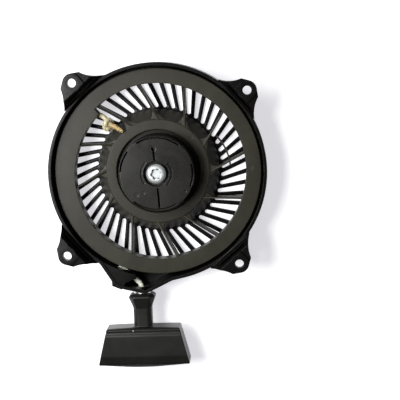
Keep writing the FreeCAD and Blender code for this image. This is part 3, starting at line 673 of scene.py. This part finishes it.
def rope_span():
    """Rope from the outlet into the handle, built at its length at rest."""
    line = [MOUTH + HANDLE_DIR * (SPAN_LENGTH * k / SPAN_RINGS) for k in range(SPAN_RINGS + 1)]
    bm = bmesh.new()
    tube_along(bm, line, lambda share, run, turn: ROPE_R)
    made = link_mesh("rope_span", bm, ROPE_SPAN)
    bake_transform(made)
    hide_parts("rope_tail")


def rope_turns():
    """Four turns of rope in the pulley's groove, in two layers of two."""
    low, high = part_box("rope_wound")
    middle = (low.z + high.z) / 2
    outer = (high.x - low.x) / 2 - ROPE_R
    angles = [2 * math.pi * k / TURN_STEPS for k in range(TURN_STEPS)]
    bm = bmesh.new()
    for radius in (outer, outer - LAYER_STEP):
        for side in (1.0, -1.0):
            z = middle + side * (ROPE_R + TURN_GAP)
            line = [Vector((radius * math.cos(a), radius * math.sin(a), z)) for a in angles]
            tube_along(bm, line, braided(ROPE_R), around=14, closed=True)
    made = link_mesh("rope_turns", bm, ROPE)
    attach(made, "pulley")
    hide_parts("rope_wound")


def loops(bm, centre, size, lift, radius, turns):
    """Closed overhand knot of braided rope round a point, added to a bmesh."""
    tilt = Matrix.Rotation(turns[0], 3, "X") @ Matrix.Rotation(turns[1], 3, "Z")
    line = []
    for k in range(KNOT_STEPS):
        t = 2 * math.pi * k / KNOT_STEPS
        spot = Vector((
            size * (math.sin(t) + 2 * math.sin(2 * t)) / 3,
            size * (math.cos(t) - 2 * math.cos(2 * t)) / 3,
            -lift * math.sin(3 * t),
        ))
        line.append(centre + tilt @ spot)
    tube_along(bm, line, braided(radius, LOOSE_DEPTH), closed=True)


def fray(bm, chance, centre, spread, count, length, thickness):
    """Loose filaments that stand out of a knot, added to a bmesh."""
    for k in range(count):
        away = Vector([chance.gauss(0, 1) for n in range(3)]).normalized()
        start = centre + Vector([a * s for a, s in zip(away, spread)])
        bend = Vector([chance.gauss(0, 1) for n in range(3)]).normalized()
        reach = length * chance.uniform(*FRAY_REACH)
        line = [start + away * (reach * t) + bend * (reach * FRAY_BEND * t * t) for t in FRAY_STOPS]
        tube_along(bm, line, lambda share, run, turn: thickness * (1 - FRAY_TAPER * share), around=4)


def knot_loops(chance, centre):
    """Braided loops of the pulley's knot with frayed yarn round them."""
    bm = bmesh.new()
    neck = spline_through([at_rope(place) for place in KNOT_ROUTE])
    tube_along(bm, evenly(neck, ROPE_STEP), braided(NECK_R), around=28)
    loops(bm, centre, size=3.1 * MM, lift=1.6 * MM, radius=1.65 * MM, turns=KNOT_TURNS)
    spread = (3.2 * MM, 4.6 * MM, 2.9 * MM)
    fray(bm, chance, centre, spread, count=420, length=1.2 * MM, thickness=0.07 * MM)
    made = link_mesh("pulley_knot_loops", bm, YARN)
    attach(made, "pulley")
    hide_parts("pulley_knot")


def melted_tip(chance, centre):
    """Singed end of the rope: a lumpy, tapering tail with stubs of yarn along it."""
    lumps = []
    for k in range(LUMPS):
        lumps.append([chance.uniform(*span) for span in (LUMP_RATE, LUMP_START, LUMP_DEPTH)])

    def lumpy(share, run, turn):
        nose = max(0.0, share - (1 - TIP_NOSE)) / TIP_NOSE
        radius = TIP_R * (1 - TIP_TAPER * share) * math.sqrt(1 - nose * (1 - TIP_END))
        wave = sum(depth * math.sin(rate * run / MM + start + 2 * turn) for rate, start, depth in lumps)
        return radius * (1 + wave)

    bm = bmesh.new()
    tail = spline_through([at_rope(place) for place in TAIL_ROUTE])
    tube_along(bm, evenly(tail, TIP_STEP), lumpy, around=28)
    spread = (0.5 * MM, 0.5 * MM, 0.4 * MM)
    for k in range(STUBS):
        spot = centre + Vector([chance.uniform(*span) for span in STUB_SPANS]) * MM
        fray(bm, chance, spot, spread, count=14, length=0.9 * MM, thickness=0.09 * MM)
    made = link_mesh("pulley_knot_tip", bm, MELTED)
    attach(made, "pulley")


def pulley_knot():
    """Knot on the rope's end: frayed loops and the singed, melted tip."""
    chance = random.Random(KNOT_SEED)
    centre = at_rope(KNOT_AT)
    knot_loops(chance, centre)
    melted_tip(chance, centre)


def handle_knot():
    """Overhand knot on the steel insert, with a short end."""
    chance = random.Random(HANDLE_KNOT_SEED)
    low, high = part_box("handle_knot")
    centre = (low + high) / 2 - HANDLE_DIR * HANDLE_KNOT_BACK
    bm = bmesh.new()
    loops(bm, centre, size=2.7 * MM, lift=1.5 * MM, radius=1.5 * MM, turns=HANDLE_KNOT_TURNS)
    half, whole = HANDLE_END_RUN
    end = [centre, centre + HANDLE_DIR * half, centre + HANDLE_DIR * whole + HANDLE_END_BEND]
    tube_along(bm, evenly(spline_through(end), ROPE_STEP), braided(1.55 * MM))
    spread = (3.3 * MM, 2.4 * MM, 3.3 * MM)
    fray(bm, chance, centre, spread, count=160, length=0.8 * MM, thickness=0.06 * MM)
    made = link_mesh("handle_knot_loops", bm, YARN)
    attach(made, "handle")
    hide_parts("handle_knot")


# ---------------------------------------------------------------- stage

def floor():
    """Pale, faintly glowing floor that runs far past the view."""
    look = Shader("floor")
    look.set(Base_Color=FLOOR_GREY, Roughness=0.6)
    look.set(Emission_Color=FLOOR_TINT, Emission_Strength=FLOOR_GLOW)
    bm = bmesh.new()
    bmesh.ops.create_grid(bm, x_segments=2, y_segments=2, size=FLOOR_HALF)
    made = link_mesh("floor", bm, look.mat)
    made.location = (0, 0, FLOOR_Z)


def lighting():
    """Soft key from the upper left, a sheen from high on the left, a weak fill and dim surroundings."""
    world = bpy.data.worlds.new("studio")
    bpy.context.scene.world = world
    world.use_nodes = True
    background = world.node_tree.nodes["Background"]
    background.inputs["Color"].default_value = (1.0, 1.0, 1.0, 1.0)
    background.inputs["Strength"].default_value = WORLD_LIGHT
    for name, at, size, power in LIGHTS:
        light = bpy.data.lights.new(name, "AREA")
        light.energy = power
        light.size = size
        lamp = bpy.data.objects.new(name, light)
        lamp.location = at
        lamp.rotation_mode = "QUATERNION"
        lamp.rotation_quaternion = (LIGHT_TARGET - Vector(at)).to_track_quat("-Z", "Y")
        bpy.context.scene.collection.objects.link(lamp)


def camera():
    """Camera at the reference view."""
    data = bpy.data.cameras.new("camera")
    data.lens = CAMERA_LENS
    data.sensor_width = CAMERA_SENSOR
    cam = bpy.data.objects.new("camera", data)
    forward = (CAMERA_AIM - CAMERA_AT).normalized()
    right = forward.cross(Vector((0, 1, 0))).normalized()
    up = right.cross(forward)
    right_rolled = right * math.cos(CAMERA_ROLL) + up * math.sin(CAMERA_ROLL)
    up_rolled = up * math.cos(CAMERA_ROLL) - right * math.sin(CAMERA_ROLL)
    turn = Matrix((right_rolled, up_rolled, -forward)).transposed().to_4x4()
    cam.matrix_world = Matrix.Translation(CAMERA_AT) @ turn
    bpy.context.scene.collection.objects.link(cam)
    bpy.context.scene.camera = cam


camera()
floor()
lighting()
bpy.context.scene.view_settings.view_transform = "Standard"

# ---------------------------------------------------------------- pieces

rounded("housing_shell", "housing", BLACK, 0.25 * MM, merge_flats=False)
rounded("rope_pulley", "pulley", PULLEY, 0.3 * MM)
rounded("friction_plate", "plate", PLATE, 0.12 * MM, merge_flats=False)
rounded("handle_grip", "grip", HANDLE, 0.8 * MM, segments=3, angle=12.0)
rounded("center_screw", "screw", ZINC, 0.12 * MM, merge_flats=False)
for node, material in (
    ("rope_guide", GUIDE), ("spring_keeper", SPRING), ("recoil_spring", SPRING), ("pulley_sleeve", GUIDE),
    ("thread_insert", BRASS), ("friction_spring", SPRING), ("pawl_a", PAWL), ("pawl_b", PAWL),
    ("grip_insert", GUIDE),
):
    dress(node, material)
rope_lead()
rope_span()
rope_turns()
pulley_knot()
handle_knot()
